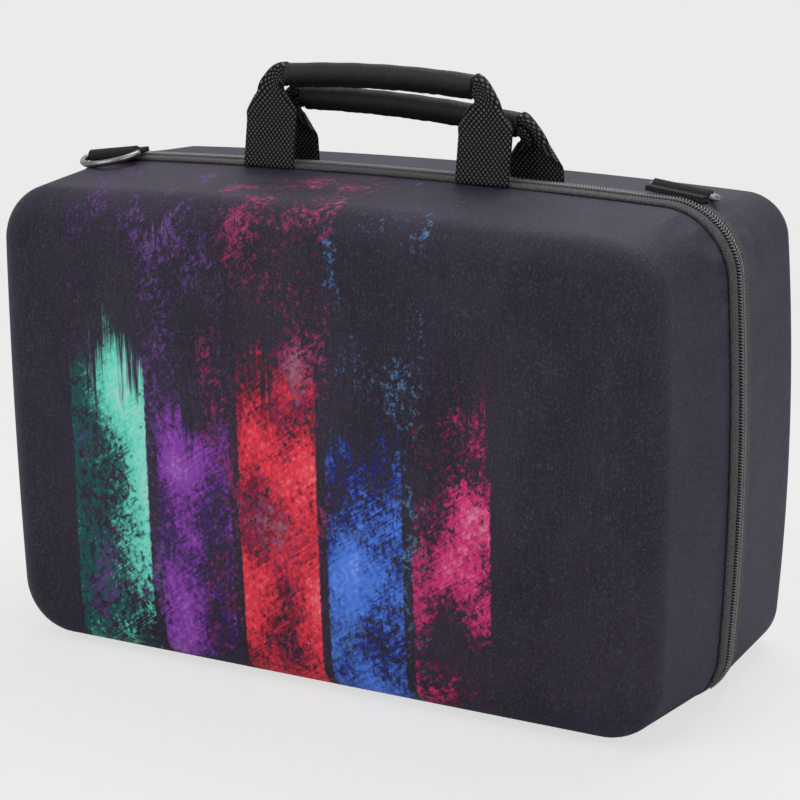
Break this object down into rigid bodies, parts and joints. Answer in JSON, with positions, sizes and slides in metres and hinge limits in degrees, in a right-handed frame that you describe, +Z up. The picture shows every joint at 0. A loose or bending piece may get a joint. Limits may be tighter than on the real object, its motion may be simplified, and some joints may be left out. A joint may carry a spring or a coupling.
{
  "type": "console carrying bag",
  "caption": "Moulded soft-shell carrying bag for a game console, zipped round its sides and top and hinged along the bottom, with padded webbing handles and rings for a shoulder strap.",
  "frame": {"origin": "on the floor the closed bag stands on, straight below the middle of the zip line", "axes": "+Z up, +X to the right along the bag's width as its front is looked at, -Y out of the printed front"},
  "size_m": [0.5087, 0.239, 0.3984],
  "materials": {
    "printed_cloth": "dark woven cloth with a print, over moulded foam",
    "band_cloth": "folded dark grey woven edging",
    "webbing": "black woven webbing",
    "grip_cloth": "black padded cloth",
    "coil_plastic": "dark moulded coil",
    "ring_metal": "dark plated wire",
    "slider_metal": "dark plated casting",
    "net_cord": "black knitted net"
  },
  "bodies": {
    "back_half": {"back_shell": "printed_cloth", "back_zip_band": "band_cloth", "back_zip_teeth": "coil_plastic", "hinge_strip": "band_cloth", "back_ring_tab": "webbing", "left_securing_strap": "webbing", "right_securing_strap": "webbing"},
    "front_half": {"front_shell": "printed_cloth", "front_zip_band": "band_cloth", "front_zip_teeth": "coil_plastic", "front_ring_tab": "webbing", "pocket_net": "net_cord", "pocket_edging": "band_cloth"},
    "front_handle": {"front_handle_webbing": "webbing", "front_handle_grip": "grip_cloth"},
    "back_handle": {"back_handle_webbing": "webbing", "back_handle_grip": "grip_cloth"},
    "front_ring": {"front_d_ring": "ring_metal"},
    "back_ring": {"back_d_ring": "ring_metal"},
    "slider": {"zip_slider": "slider_metal"},
    "pull": {"zip_pull": "slider_metal"}
  },
  "joints": [
    {"name": "case_open", "type": "hinge", "parent": "back_half", "child": "front_half", "pos_m": [0, 0, -0.0002], "axis": [1, 0, 0], "range_deg": [0, 175], "deforming": ["hinge_strip"]},
    {"name": "front_handle_swing", "type": "hinge", "parent": "front_half", "child": "front_handle", "pos_m": [0, -0.0156, 0.32819], "axis": [1, 0, 0], "range_deg": [0, 84]},
    {"name": "back_handle_swing", "type": "hinge", "parent": "back_half", "child": "back_handle", "pos_m": [0, 0.0156, 0.3275], "axis": [-1, 0, 0], "range_deg": [0, 82]},
    {"name": "front_ring_flip", "type": "hinge", "parent": "front_half", "child": "front_ring", "pos_m": [-0.201, -0.0189, 0.32778], "axis": [-0.9899, 0, -0.1419], "range_deg": [0, 150]},
    {"name": "back_ring_flip", "type": "hinge", "parent": "back_half", "child": "back_ring", "pos_m": [0.201, 0.0189, 0.32696], "axis": [0.9921, 0, -0.1254], "range_deg": [0, 150]},
    {"name": "slider_travel", "type": "hinge", "parent": "back_half", "child": "slider", "pos_m": [1.43141, 0, 0.1652], "axis": [0, 1, 0], "range_deg": [0, 7.3]},
    {"name": "pull_swing", "type": "hinge", "parent": "slider", "child": "pull", "pos_m": [-0.25313, 0, 0.04376], "axis": [0, 1, 0], "range_deg": [0, 165]}
  ]
}
